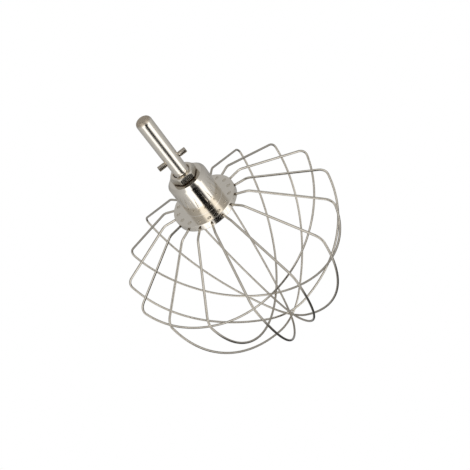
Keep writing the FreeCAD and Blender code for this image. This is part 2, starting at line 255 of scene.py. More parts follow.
# %% Turned hub steel
HEIGHT_SHARE = 0.83
FINE_RINGS = 9000
BROAD_RINGS = 1300
HUB_TONES = ((0.83, 0.78, 0.70), (0.73, 0.685, 0.61))
SEAM_SHADE_BROWN = (0.22, 0.18, 0.13)
NUT_SHADOW_BROWN = (0.20, 0.14, 0.08)


def painted_seam_shade(metal, place, away):
    """Painted shade: one on the seam round each lock pin. The angle is wrapped, so one ring serves all of
    them.
    """
    x = metal.node("ShaderNodeSeparateXYZ", {}, {0: place}, "X")
    y = metal.node("ShaderNodeSeparateXYZ", {}, {0: place}, "Y")
    angle = metal.combine("ARCTAN2", y, x)
    wrapped = metal.node("ShaderNodeMath", {"operation": "WRAP"}, {0: angle, 1: END_STEP, 2: 0.0})
    turn = wrapped - END_STEP / 2
    outward = away * metal.combine("COSINE", turn) - LOCK_PIN_RING
    sideways = away * metal.combine("SINE", turn)
    from_pin = metal.combine("SQRT", outward * outward + sideways * sideways)
    inner = metal.marks(from_pin, LOCK_PIN_RADIUS - 0.26 * MM, LOCK_PIN_RADIUS - 0.1 * MM)
    return inner * metal.marks(from_pin, LOCK_PIN_RADIUS + 0.24 * MM, LOCK_PIN_RADIUS + 0.06 * MM)


def turned_steel():
    metal = Metal("turned_steel")
    place = metal.place()
    away, height = metal.round_axis(place)
    across = away + height * HEIGHT_SHARE
    fine = metal.node("ShaderNodeTexNoise", {"noise_dimensions": "1D"}, {
        "W": across * FINE_RINGS, "Scale": 1.0, "Detail": 3.0})
    broad = metal.node("ShaderNodeTexNoise", {"noise_dimensions": "1D"}, {
        "W": across * BROAD_RINGS, "Scale": 1.0, "Detail": 2.0})
    haze = metal.noise(metal.place((70, 70, 70)), 5.0)
    nicks = metal.marks(metal.noise(metal.place((900, 900, 900)), 1.0), 0.74, 0.78)
    flange_face = metal.marks(away, BARREL_RADIUS + 0.2 * MM, BARREL_RADIUS + 0.8 * MM)
    # The ring round each lock pin is painted shade, a brown tint in the seam.
    seam_shade = painted_seam_shade(metal, place, away)
    seam_shade = seam_shade * metal.marks(height, FLANGE_TOP - 0.6 * MM, FLANGE_TOP - 0.3 * MM)
    # A painted shadow: the hub's top turns dark brown and rougher round the edge of the nut.
    nut_shadow = metal.marks(away + haze * (0.8 * MM), nut_high.x + 1.9 * MM, nut_high.x + 0.8 * MM)
    nut_shadow = nut_shadow * metal.marks(height, hub_high.z - 1.0 * MM, hub_high.z - 0.5 * MM)
    colour = metal.tones(haze, *HUB_TONES)
    colour = metal.tones(seam_shade * 0.3, colour, SEAM_SHADE_BROWN)
    colour = metal.tones(nut_shadow * 0.85, colour, NUT_SHADOW_BROWN)
    roughness = 0.07 + haze * 0.05 + fine * 0.04 + nicks * 0.08 + flange_face * 0.05 + nut_shadow * 0.2
    return metal.finish(colour, roughness, fine * 0.3 + broad * 0.3 - nicks, 0.35 * MICRON)


hub_finish = turned_steel()

# %% [markdown]
# The nut is cut from hexagon bar. Its faces keep the drawn bar's straight streaks along the axis and
# a darker, mottled skin. A brown ring round its bore is a painted reflection of the shaft, and a brown
# band along its foot is painted shade.

# %% Nut steel
NUT_TONES = ((0.82, 0.765, 0.67), (0.68, 0.625, 0.54))
SIDE_FACE_GREY = (0.60, 0.56, 0.49)
PAINTED_REFLECTION_AND_SHADE_BROWN = (0.19, 0.13, 0.07)


def nut_steel():
    metal = Metal("nut_steel")
    streaks = metal.noise(metal.place((3200, 3200, 160)), 3.0)
    mottle = metal.noise(metal.place((420, 420, 420)), 4.0)
    away, height = metal.round_axis(metal.place())
    side_face = metal.marks(away, nut_high.x - 0.5 * MM, nut_high.x - 0.2 * MM)
    # A painted reflection: a brown ring round the bore. A painted shade: a brown band along the foot.
    painted_reflection_and_shade = metal.marks(away + mottle * (1.2 * MM), THREAD_RADIUS + 1.9 * MM, THREAD_RADIUS + 1.0 * MM)
    painted_reflection_and_shade = painted_reflection_and_shade + metal.marks(height + mottle * (0.8 * MM), nut_low.z + 1.3 * MM, nut_low.z + 0.5 * MM)
    colour = metal.tones(mottle, *NUT_TONES)
    colour = metal.tones(side_face, colour, SIDE_FACE_GREY)
    colour = metal.tones(painted_reflection_and_shade, colour, PAINTED_REFLECTION_AND_SHADE_BROWN)
    roughness = 0.15 + mottle * 0.05 + streaks * 0.03 + side_face * 0.07 + painted_reflection_and_shade * 0.1
    return metal.finish(colour, roughness, streaks, 0.5 * MICRON)


nut_finish = nut_steel()

# %% [markdown]
# Spring wire is drawn through a die, which leaves hair lines that follow the wire round every bend. The
# sweep that makes each wire stores a place on its skin, a circle for the way round and a length for the
# way along, so the lines are a noise that changes quickly round the wire and slowly along it. Where each
# wire goes into the flange, a brown band of painted shade darkens it.

# %% Drawn wire steel
SKIN_STRETCH = (5.0, 5.0, 60.0)
WIRE_TONES = ((0.65, 0.605, 0.53), (0.46, 0.425, 0.365))
HOLE_SHADE_BROWN = (0.19, 0.145, 0.095)


def drawn_wire():
    metal = Metal("drawn_wire")
    skin = metal.node("ShaderNodeAttribute", {"attribute_name": "skin"}, None, "Vector")
    stretched = metal.node("ShaderNodeVectorMath", {"operation": "MULTIPLY"}, {0: skin, 1: SKIN_STRETCH})
    lines = metal.noise(stretched, 3.0)
    patches = metal.noise(metal.place((120, 120, 120)), 3.0)
    away, height = metal.round_axis(metal.place())
    # Painted shade: each wire turns brown and rougher where it goes into the flange's hole.
    hole_shade = metal.marks(away + patches * MM, FLANGE_RADIUS + 1.8 * MM, FLANGE_RADIUS + 0.8 * MM)
    hole_shade = hole_shade * metal.marks(height, WIRE_PLANE - 6 * MM, WIRE_PLANE - 3 * MM)
    colour = metal.tones(patches, *WIRE_TONES)
    colour = metal.tones(hole_shade, colour, HOLE_SHADE_BROWN)
    roughness = 0.08 + lines * 0.05 + patches * 0.05 + hole_shade * 0.2
    return metal.finish(colour, roughness, lines, 0.8 * MICRON)


wire_finish = drawn_wire()

# %% [markdown]
# The cross pin is rolled from spring strip and hardened, so it is browner and duller than the rest, with
# streaks along its length.

# %% Spring pin steel
PIN_TONES = ((0.60, 0.55, 0.47), (0.44, 0.395, 0.33))


def spring_steel():
    metal = Metal("spring_steel")
    streaks = metal.noise(metal.place((2400, 90, 2400)), 3.0)
    stains = metal.noise(metal.place((300, 300, 300)), 4.0)
    colour = metal.tones(stains, *PIN_TONES)
    roughness = 0.22 + streaks * 0.12 + stains * 0.10
    return metal.finish(colour, roughness, streaks, 3 * MICRON)


pin_finish = spring_steel()

# %% [markdown]
# The little lock pins are pressed into the flange from above. Their ends carry straight file marks and a
# few dark stains, which sets them apart from the flange's circles.

# %% Lock pin steel
LOCK_PIN_TONES = ((0.78, 0.725, 0.63), (0.56, 0.51, 0.43))


def faced_steel():
    metal = Metal("faced_steel")
    file_marks = metal.noise(metal.place((5000, 700, 700)), 2.0)
    stains = metal.noise(metal.place((700, 700, 700)), 3.0)
    colour = metal.tones(stains, *LOCK_PIN_TONES)
    roughness = 0.18 + file_marks * 0.12
    return metal.finish(colour, roughness, file_marks, 1.5 * MICRON)


lock_pin_finish = faced_steel()

# %% [markdown]
# Most pieces are turned, so one helper makes them: it takes an outline of radius and height, repeats it
# round the axis and joins the rows with faces. An outline that starts or ends on the axis closes there in
# a fan; any other outline is closed on itself, which gives a ring with a bore. The Spin tool would do the
# same, but here the outline stays readable as numbers. Long runs get a row of points close to each end:
# smooth shading blends across a corner, and the extra rows keep that blend narrow.

# %% Turning helper
LONG_RUN = 0.9 * MM
SUPPORT_REACH = 0.08 * MM


def arc(centre_r, centre_z, radius, first, last, steps=6):
    """Points of an arc in the outline plane, angles in degrees from the outward direction."""
    points = []
    for step in range(steps + 1):
        angle = math.radians(first + (last - first) * step / steps)
        points.append((centre_r + radius * math.cos(angle), centre_z + radius * math.sin(angle)))
    return points


def with_support(outline):
    """The outline with an extra point close to both ends of each long run."""
    points = [outline[0]]
    for start, end in zip(outline, outline[1:]):
        run = math.dist(start, end)
        if run > LONG_RUN:
            for share in (SUPPORT_REACH / run, 1 - SUPPORT_REACH / run):
                points.append(tuple(a + (b - a) * share for a, b in zip(start, end)))
        points.append(end)
    return points


def turned(name, outline, segments, reshape=None):
    """A mesh turned from an outline. reshape(radius, height, angle) may change a point's radius."""
    mesh = bpy.data.meshes.new(name)
    build = bmesh.new()
    columns = []
    for radius, height in outline:
        if radius == 0:
            columns.append([build.verts.new((0, 0, height))] * segments)
            continue
        ring = []
        for segment in range(segments):
            angle = math.tau * segment / segments
            reach = reshape(radius, height, angle) if reshape else radius
            ring.append(build.verts.new((reach * math.cos(angle), reach * math.sin(angle), height)))
        columns.append(ring)
    pairs = list(zip(columns, columns[1:]))
    if outline[0][0] > 0:
        pairs.append((columns[-1], columns[0]))
    for lower, upper in pairs:
        for segment in range(segments):
            after = (segment + 1) % segments
            corners = [lower[segment], lower[after], upper[after], upper[segment]]
            distinct = list(dict.fromkeys(corners))
            if len(distinct) > 2:
                build.faces.new(distinct)
    bmesh.ops.recalc_face_normals(build, faces=build.faces)
    build.to_mesh(mesh)
    build.free()
    return mesh


def add_piece(name, mesh, finish, body, node, smooth_angle=28):
    """A finished piece: shaded, given its metal, riding on its body and standing for its CAD node."""
    mesh.shade_smooth()
    mesh.set_sharp_from_angle(angle=math.radians(smooth_angle))
    mesh.materials.clear()
    mesh.materials.append(finish)
    piece = bpy.data.objects.new(name, mesh)
    bpy.context.scene.collection.objects.link(piece)
    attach(piece, body)
    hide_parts(node)
    print(name, len(mesh.polygons), "faces, top at", round(max(v.co.z for v in mesh.vertices) / MM, 2), "mm")
    return piece


def cut(piece_mesh, cutter_mesh):
    """A copy of the first mesh with the second taken out of it."""
    pair = [bpy.data.objects.new("cut_" + m.name, m) for m in (piece_mesh, cutter_mesh)]
    for item in pair:
        bpy.context.scene.collection.objects.link(item)
    knife = pair[0].modifiers.new("knife", "BOOLEAN")
    knife.operation = "DIFFERENCE"
    knife.solver = "EXACT"
    knife.object = pair[1]
    ready = pair[0].evaluated_get(bpy.context.evaluated_depsgraph_get())
    result = bpy.data.meshes.new_from_object(ready)
    for item in pair:
        bpy.data.objects.remove(item)
    return result


# %% [markdown]
# The drive shaft is one bar: a plain shank above, then a thread that the nut and the hub screw on. A true
# thread is a helix, so its depth depends on height and angle together. The outline brings rows close
# enough to draw one turn in a dozen steps, and `thread` sinks each point by its place in the turn. A
# Boolean then takes out the hole that the drive pin goes through.

# %% Drive shaft
THREAD_PITCH = 1.5 * MM
THREAD_DEPTH = 0.85 * MM
THREAD_START = nut_high.z + 1.6 * MM
THREAD_RUN_IN = 1.2 * MM
ROWS_PER_TURN = 12
CREST_SHARE = 0.14
ROOT_SHARE = 0.80
TIP_ROUND = 3.0 * MM
STEP_CHAMFER = 0.15 * MM
FOOT_CHAMFER = 0.8 * MM
SHAFT_SEGMENTS = 144
CROSS_HOLE_SEGMENTS = 48


def thread(radius, height, angle):
    """Radius of the threaded bar: full on a crest, sunk between crests, fading out at the top."""
    if height > THREAD_START or radius < THREAD_RADIUS - THREAD_DEPTH:
        return radius
    turn = (height / THREAD_PITCH - angle / math.tau) % 1.0
    from_crest = abs(turn - 0.5) * 2
    sunk = min(max((from_crest - CREST_SHARE) / (ROOT_SHARE - CREST_SHARE), 0.0), 1.0)
    fade = min((THREAD_START - height) / THREAD_RUN_IN, 1.0)
    return radius - THREAD_DEPTH * sunk * fade


def shaft_outline():
    points = [(0, shaft_low.z), (THREAD_RADIUS - FOOT_CHAMFER, shaft_low.z)]
    rows = round((THREAD_START - shaft_low.z - FOOT_CHAMFER) / THREAD_PITCH * ROWS_PER_TURN)
    for row in range(rows + 1):
        height = shaft_low.z + FOOT_CHAMFER + row * THREAD_PITCH / ROWS_PER_TURN
        points.append((THREAD_RADIUS, height))
    thread_end = points[-1][1]
    plain = [(THREAD_RADIUS, thread_end), (THREAD_RADIUS, thread_end / 2), (THREAD_RADIUS, 0)]
    plain += [(SHANK_RADIUS - STEP_CHAMFER, 0), (SHANK_RADIUS, STEP_CHAMFER)]
    plain += arc(SHANK_RADIUS - TIP_ROUND, shaft_high.z - TIP_ROUND, TIP_ROUND, 0, 90, 16)
    plain.append((0, shaft_high.z))
    return points + with_support(plain)[1:]


def cross_hole_cutter():
    """A round bar along Y, where the drive pin goes through."""
    reach = 2 * SHANK_RADIUS
    outline = [(0, -reach), (PIN_HOLE_RADIUS, -reach), (PIN_HOLE_RADIUS, reach), (0, reach)]
    mesh = turned("cross_hole", outline, CROSS_HOLE_SEGMENTS)
    lay_down = Matrix.Translation((0, 0, PIN_HEIGHT)) @ Matrix.Rotation(math.radians(90), 4, "X")
    mesh.transform(lay_down)
    return mesh


shaft_mesh = cut(turned("drive_shaft_bar", shaft_outline(), SHAFT_SEGMENTS, thread), cross_hole_cutter())
add_piece("polished_shaft", shaft_mesh, shank_finish, "shaft", "drive_shaft")

# %% [markdown]
# The drive pin is a rolled spring pin: a strip of spring steel curled into a C, with chamfered ends. Its
# hole squeezes its middle, so its two free ends stand a little wider. The C is one outline, out along the
# outer arc and back along the inner one, repeated at a few stations along the pin and joined by faces.

# %% Drive pin
PIN_INSIDE = 0.8 * MM
PIN_SLOT = 0.6 * MM
PIN_FLARE = 0.7 * MM
PIN_CHAMFER = 0.3 * MM
PIN_HOLE_PLAY = 0.02 * MM
PIN_ARC_STEPS = 40


def pin_stations():
    """Distances along the pin and the outside radius at each."""
    squeezed = PIN_HOLE_RADIUS - PIN_HOLE_PLAY
    held = THREAD_RADIUS
    right = [(0, squeezed), (held, squeezed), (held + PIN_FLARE / 2, (squeezed + PIN_RADIUS) / 2),
             (held + PIN_FLARE, PIN_RADIUS), (pin_high.y - PIN_CHAMFER, PIN_RADIUS),
             (pin_high.y - PIN_CHAMFER / 3, PIN_RADIUS - PIN_CHAMFER / 2),
             (pin_high.y, PIN_RADIUS - PIN_CHAMFER)]
    left = [(-along, radius) for along, radius in reversed(right[1:])]
    return left + right


def rolled_pin():
    mesh = bpy.data.meshes.new("rolled_pin")
    build = bmesh.new()
    rows = []
    for along, outside in pin_stations():
        row = []
        for radius, backwards in ((outside, False), (PIN_INSIDE, True)):
            lip = math.asin(PIN_SLOT / 2 / radius)
            points = []
            for step in range(PIN_ARC_STEPS + 1):
                angle = lip + (math.tau - 2 * lip) * step / PIN_ARC_STEPS
                points.append((radius * math.cos(angle), along, PIN_HEIGHT + radius * math.sin(angle)))
            row += reversed(points) if backwards else points
        rows.append([build.verts.new(point) for point in row])
    around = len(rows[0])
    for near, far in zip(rows, rows[1:]):
        for index in range(around):
            after = (index + 1) % around
            build.faces.new((near[index], near[after], far[after], far[index]))
    for end in (rows[0], rows[-1]):
        for index in range(PIN_ARC_STEPS):
            build.faces.new((end[index], end[index + 1], end[around - 2 - index], end[around - 1 - index]))
    bmesh.ops.recalc_face_normals(build, faces=build.faces)
    build.to_mesh(mesh)
    build.free()
    return mesh


add_piece("rolled_drive_pin", rolled_pin(), pin_finish, "shaft", "drive_pin")

# %% [markdown]
# The lock nut is a thin hexagon nut, chamfered on both faces. A chamfer is a cone that cuts the corners
# off a hexagon, which leaves the curved tops on its six faces. Here each point's radius is limited by the
# hexagon in its direction, and the height of the cone at that radius gives the curve, with no cutting. A
# Bevel modifier then rounds the edges that are sharper than a small angle.

# %% Lock nut
NUT_FLAT_RADIUS = nut_high.x
NUT_FACE_SHARE = 0.96
NUT_FACE_RADIUS = NUT_FLAT_RADIUS * NUT_FACE_SHARE
NUT_CHAMFER_ANGLE = 30
NUT_CHAMFER_SLOPE = math.tan(math.radians(NUT_CHAMFER_ANGLE))
NUT_COUNTERSINK = 0.55 * MM
NUT_BEVEL = 0.12 * MM
NUT_BEVEL_FROM = 18
NUT_SHARP_FROM = 15
NUT_SEGMENTS = 144


def hexagon_reach(angle):
    """Distance from the axis to the hexagon's side in one direction."""
    sixth = math.tau / 6
    from_flat = (angle + sixth / 2) % sixth - sixth / 2
    return NUT_FLAT_RADIUS / math.cos(from_flat)


def lock_nut():
    mesh = bpy.data.meshes.new("lock_nut_hexagon")
    build = bmesh.new()
    columns = []
    for segment in range(NUT_SEGMENTS):
        angle = math.tau * segment / NUT_SEGMENTS
        corner = hexagon_reach(angle)
        drop = (corner - NUT_FACE_RADIUS) * NUT_CHAMFER_SLOPE
        outline = [(BORE_RADIUS, nut_low.z + NUT_COUNTERSINK), (BORE_RADIUS + NUT_COUNTERSINK, nut_low.z),
                   (NUT_FACE_RADIUS, nut_low.z), (corner, nut_low.z + drop),
                   (corner, nut_high.z - drop), (NUT_FACE_RADIUS, nut_high.z),
                   (BORE_RADIUS + NUT_COUNTERSINK, nut_high.z), (BORE_RADIUS, nut_high.z - NUT_COUNTERSINK)]
        columns.append([build.verts.new((radius * math.cos(angle), radius * math.sin(angle), height))
                        for radius, height in outline])
    rows = len(columns[0])
    for segment, column in enumerate(columns):
        following = columns[(segment + 1) % NUT_SEGMENTS]
        for row in range(rows):
            after = (row + 1) % rows
            build.faces.new((column[row], following[row], following[after], column[after]))
    bmesh.ops.recalc_face_normals(build, faces=build.faces)
    build.to_mesh(mesh)
    build.free()
    return mesh


nut = add_piece("hexagon_lock_nut", lock_nut(), nut_finish, "nut", "lock_nut", NUT_SHARP_FROM)
soft_edges = nut.modifiers.new("soft_edges", "BEVEL")
soft_edges.width = NUT_BEVEL
soft_edges.segments = 3
soft_edges.limit_method = "ANGLE"
soft_edges.angle_limit = math.radians(NUT_BEVEL_FROM)
soft_edges.harden_normals = True

# %% [markdown]
# Geometry Nodes make what repeats. `Shape` starts a tree with its geometry input and output, gives each
# size a named input, and hands the finished tree to a modifier. `grown` sets the inputs by their
# identifiers, evaluates the result once and keeps it as a plain mesh, so nothing live is left behind.

# %% Geometry Nodes helper
class Shape(Recipe):
    """A Geometry Nodes tree with named inputs."""

    def __init__(self, name):
        super().__init__(bpy.data.node_groups.new(name, "GeometryNodeTree"))
        self.tree.interface.new_socket("Geometry", in_out="INPUT", socket_type="NodeSocketGeometry")
        self.tree.interface.new_socket("Geometry", in_out="OUTPUT", socket_type="NodeSocketGeometry")
        self.entry = self.tree.nodes.new("NodeGroupInput")
        self.identifiers = {}

    def given(self):
        return Value(self, self.entry.outputs["Geometry"])

    def size(self, name, kind="NodeSocketFloat"):
        """A named input of the tree."""
        made = self.tree.interface.new_socket(name, in_out="INPUT", socket_type=kind)
        self.identifiers[name] = made.identifier
        return Value(self, self.entry.outputs[name])

    def output(self, geometry, finish):
        """Ends the tree: real geometry, then its material."""
        real = self.node("GeometryNodeRealizeInstances", {}, {"Geometry": geometry})
        painted = self.node("GeometryNodeSetMaterial", {}, {"Geometry": real, "Material": finish})
        leave = self.tree.nodes.new("NodeGroupOutput")
        self.plug(leave.inputs["Geometry"], painted)


def grown(shape, mesh, sizes):
    """The plain mesh that a tree makes of a mesh."""
    holder = bpy.data.objects.new("holder", mesh)
    bpy.context.scene.collection.objects.link(holder)
    modifier = holder.modifiers.new("grow", "NODES")
    modifier.node_group = shape.tree
    for name, value in sizes.items():
        modifier[shape.identifiers[name]] = value
    ready = holder.evaluated_get(bpy.context.evaluated_depsgraph_get())
    result = bpy.data.meshes.new_from_object(ready)
    bpy.data.objects.remove(holder)
    return result


# %% [markdown]
# The hub is turned in one piece with its flange, then drilled. Its outline runs from the bore across the
# foot, up the rim, over the flange, through a small fillet and up the barrel to the chamfered crown. Tiny
# arcs on the edges catch the light, as they do on real turned steel. Where an edge turns by 45 degrees,
# its arc starts about 0.4 of its radius before the corner.

# %% Hub blank
EDGE_ROUND = 0.18 * MM
SET_BACK_SHARE = 0.4
RIM_EDGE = 0.4 * MM
ROOT_FILLET = 0.3 * MM
CROWN_CHAMFER = 1.9 * MM
BORE_EDGE = 0.35 * MM
HUB_SEGMENTS = 256


def hub_outline():
    foot = hub_low.z
    crown = hub_high.z
    points = [(BORE_RADIUS, foot + BORE_EDGE), (BORE_RADIUS + BORE_EDGE, foot)]
    points += arc(FLANGE_RADIUS - RIM_EDGE, foot + RIM_EDGE, RIM_EDGE, -90, 0)
    points += arc(FLANGE_RADIUS - RIM_EDGE, FLANGE_TOP - RIM_EDGE, RIM_EDGE, 0, 90)
    points += arc(BARREL_RADIUS + ROOT_FILLET, FLANGE_TOP + ROOT_FILLET, ROOT_FILLET, 270, 180, 8)
    chamfer_foot = crown - CROWN_CHAMFER
    points += [(BARREL_RADIUS, (FLANGE_TOP + crown) / 2)]
    set_back = EDGE_ROUND * SET_BACK_SHARE
    points += arc(BARREL_RADIUS - EDGE_ROUND, chamfer_foot - set_back, EDGE_ROUND, 0, 45, 4)
    points += arc(BARREL_RADIUS - CROWN_CHAMFER - set_back, crown - EDGE_ROUND, EDGE_ROUND, 45, 90, 4)
    points += [(BORE_RADIUS + BORE_EDGE, crown), (BORE_RADIUS, crown - BORE_EDGE)]
    return points


hub_blank = turned("hub_blank", with_support(hub_outline()), HUB_SEGMENTS)
print("hub blank", len(hub_blank.polygons), "faces")

# %% [markdown]
# Sixteen pairs of holes go round the flange: one in from the rim for each wire end, and one down from the
# top for the pin that locks it. One cutter of each kind is instanced on sixteen points, each turned by
# its own index, and a single Mesh Boolean takes them all out of the blank. A small cone takes the sharp
# edge off each pin's seat. Every cutter stands out past the surface it starts from, because a Boolean is
# at its least reliable where two surfaces lie in one plane.

# %% Drilled hub
SEAT_EDGE = 0.08 * MM
LOCK_PIN_LENGTH = 1.5 * MM
CUT_MARGIN = 1.0 * MM
DRILL_SIDES = 32


def ring_of(shape, item, count, step):
    """Copies of an item turned about the axis, starting half a step round."""
    index = shape.node("GeometryNodeInputIndex")
    turn = shape.node("ShaderNodeCombineXYZ", {}, {"Z": (index + 0.5) * step})
    points = shape.node("GeometryNodePoints", {}, {"Count": count})
    return shape.node("GeometryNodeInstanceOnPoints", {}, {
        "Points": points, "Instance": item, "Rotation": turn})


def drilled_flange():
    shape = Shape("drilled_flange")
    count = shape.size("Ends", "NodeSocketInt")
    step = shape.size("Step")
    rim = shape.size("Rim radius")
    depth = shape.size("Wire hole depth")
    wire_hole = shape.size("Wire hole radius")
    wire_height = shape.size("Wire height")
    seat_ring = shape.size("Seat ring radius")
    seat = shape.size("Seat radius")
    seat_top = shape.size("Seat top")
    seat_depth = shape.size("Seat depth")
    edge = shape.size("Seat edge")
    drill = shape.node("GeometryNodeMeshCylinder", {}, {
        "Vertices": DRILL_SIDES, "Radius": wire_hole, "Depth": depth + CUT_MARGIN})
    drill_place = shape.node("ShaderNodeCombineXYZ", {}, {
        "X": rim - (depth - CUT_MARGIN) * 0.5, "Z": wire_height})
    drill = shape.node("GeometryNodeTransform", {}, {
        "Geometry": drill, "Translation": drill_place, "Rotation": (0, math.pi / 2, 0)})
    pocket = shape.node("GeometryNodeMeshCylinder", {}, {
        "Vertices": DRILL_SIDES, "Radius": seat, "Depth": seat_depth + CUT_MARGIN})
    pocket_place = shape.node("ShaderNodeCombineXYZ", {}, {
        "X": seat_ring, "Z": seat_top - (seat_depth - CUT_MARGIN) * 0.5})
    pocket = shape.node("GeometryNodeTransform", {}, {"Geometry": pocket, "Translation": pocket_place})
    cone = shape.node("GeometryNodeMeshCone", {}, {
        "Vertices": DRILL_SIDES, "Radius Top": seat + edge * 2, "Radius Bottom": seat, "Depth": edge * 2})
    cone_place = shape.node("ShaderNodeCombineXYZ", {}, {"X": seat_ring, "Z": seat_top - edge})
    cone = shape.node("GeometryNodeTransform", {}, {"Geometry": cone, "Translation": cone_place})
    drilled = shape.node("GeometryNodeMeshBoolean", {"operation": "DIFFERENCE", "solver": "EXACT"}, {
        "Mesh 1": shape.given()})
    for cutter in (drill, pocket, cone):
        ring = shape.node("GeometryNodeRealizeInstances", {}, {
            "Geometry": ring_of(shape, cutter, count, step)})
        shape.plug(drilled.socket.node.inputs["Mesh 2"], ring)
    shape.output(drilled, hub_finish)
    return shape


hub_mesh = grown(drilled_flange(), hub_blank, {
    "Ends": 2 * LOOP_COUNT,
    "Step": END_STEP,
    "Rim radius": FLANGE_RADIUS,
    "Wire hole depth": WIRE_HOLE_DEPTH,
    "Wire hole radius": WIRE_HOLE_RADIUS,
    "Wire height": WIRE_PLANE,
    "Seat ring radius": LOCK_PIN_RING,
    "Seat radius": LOCK_PIN_RADIUS,
    "Seat top": FLANGE_TOP,
    "Seat depth": LOCK_PIN_LENGTH,
    "Seat edge": SEAT_EDGE,
})
add_piece("turned_hub", hub_mesh, hub_finish, "whisk", "hub")

# %% [markdown]
# The lock pins are pressed in from above. The punch leaves each end a very low dome with a groove round
# it, which bends the stripes mirrored in the flange into small rings. One short pin goes on the same
# sixteen places as the holes.

# %% Lock pins
LOCK_PIN_PLAY = 0.06 * MM
LOCK_PIN_RISE = 0.16 * MM
LOCK_PIN_SEGMENTS = 32


def lock_pin_blank():
    """One pin at the first place on the ring, its domed end as high as the flange's top."""
    radius = LOCK_PIN_RADIUS - LOCK_PIN_PLAY
    ball = (radius ** 2 + LOCK_PIN_RISE ** 2) / (2 * LOCK_PIN_RISE)
    edge_angle = math.degrees(math.acos(radius / ball))
    outline = [(0, FLANGE_TOP - LOCK_PIN_LENGTH), (radius, FLANGE_TOP - LOCK_PIN_LENGTH)]
    outline += arc(0, FLANGE_TOP - ball, ball, edge_angle, 90, 5)
    mesh = turned("lock_pin_blank", outline, LOCK_PIN_SEGMENTS)
    mesh.transform(Matrix.Translation((LOCK_PIN_RING, 0, 0)))
    return mesh


def ring_of_pins():
    shape = Shape("ring_of_pins")
    ring = ring_of(shape, shape.given(), shape.size("Ends", "NodeSocketInt"), shape.size("Step"))
    shape.output(ring, lock_pin_finish)
    return shape


lock_pins = grown(ring_of_pins(), lock_pin_blank(), {"Ends": 2 * LOOP_COUNT, "Step": END_STEP})
add_piece("pressed_lock_pins", lock_pins, lock_pin_finish, "whisk", "wire_lock_pins")

# %% [markdown]
# Each wire is one loop: out of the flange, over a tight neck, down a straight slope to the shoulder, round
# a long side arc, and through the pole to the same shape on the other side. The loops come in a deep and a
# shallow family, and within a family each one crosses just outside the one before. The shape is a rule of
# arcs that touch each other, so the script works out the touching points and walks the centre line.
# Where the side arc touches both the shoulder's and the pole's, the three centres form a triangle whose
# sides are known, and the law of cosines gives its angle.

# %% Centre line of a loop
NECK_RADIUS_OUT = FLANGE_RADIUS + 7.0 * MM
NECK_BEND = 7.0 * MM
SHOULDER_RADIUS = 74.5 * MM
SHOULDER_BEND = 8.0 * MM
SHOULDER_DEPTH = 30.0 * MM
DEEP = {"side": 110.0 * MM, "pole": 34.0 * MM}
SHALLOW = {"side": 84.0 * MM, "pole": 70.0 * MM}
SHALLOW_LIMIT = 115.0 * MM
WIRE_START = FLANGE_RADIUS - WIRE_HOLE_DEPTH


def half_loop(pole_depth):
    """Points of half a centre line, from inside the rim to the pole, heights from the wire plane."""
    bends = SHALLOW if pole_depth < SHALLOW_LIMIT else DEEP
    run = SHOULDER_RADIUS - SHOULDER_BEND - NECK_RADIUS_OUT
    fall = SHOULDER_DEPTH - NECK_BEND
    slope = math.acos((SHOULDER_BEND - NECK_BEND) / math.hypot(run, fall)) - math.atan2(run, fall)
    shoulder = Vector((SHOULDER_RADIUS - SHOULDER_BEND, -SHOULDER_DEPTH))
    pole = Vector((0, bends["pole"] - pole_depth))
    apart = shoulder - pole
    to_pole = bends["side"] - bends["pole"]
    to_shoulder = bends["side"] - SHOULDER_BEND
    corner = (to_pole ** 2 + apart.length ** 2 - to_shoulder ** 2) / (2 * to_pole * apart.length)
    turn = math.atan2(apart.y, apart.x) + math.acos(corner)
    side = pole + Vector((math.cos(turn), math.sin(turn))) * to_pole
    leave = math.degrees(math.atan2(shoulder.y - side.y, shoulder.x - side.x))
    meet = math.degrees(math.atan2(pole.y - side.y, pole.x - side.x))
    start = 90 - math.degrees(slope)
    points = [(WIRE_START, 0)]
    points += arc(NECK_RADIUS_OUT, -NECK_BEND, NECK_BEND, 90, start, 8)
    points += arc(*shoulder, SHOULDER_BEND, start, leave, 16)
    points += arc(*side, bends["side"], leave, meet, 36)[1:]
    points += arc(*pole, bends["pole"], meet, -90, 24)[1:]
    return points


def loop_path(number):
    """Edges along the whole centre line of one loop, turned to its place round the hub."""
    low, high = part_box("wire_loop_%d" % number)
    half = half_loop(WIRE_PLANE - low.z - WIRE_RADIUS)
    outline = half + [(-radius, height) for radius, height in reversed(half[:-1])]
    turn = (number - 0.5) * END_STEP
    points = [(r * math.cos(turn), r * math.sin(turn), WIRE_PLANE + z) for r, z in outline]
    mesh = bpy.data.meshes.new("loop_path_%d" % number)
    mesh.from_pydata(points, [(i, i + 1) for i in range(len(points) - 1)], [])
    return mesh


# %% [markdown]
# A sweep turns a path into wire: Mesh to Curve, then Curve to Mesh with a circle as the section. Before
# the sweep, the circle remembers the way round and the path remembers its length, and afterwards both go
# into one stored attribute, `skin`, which the wire's finish reads for its drawing lines.

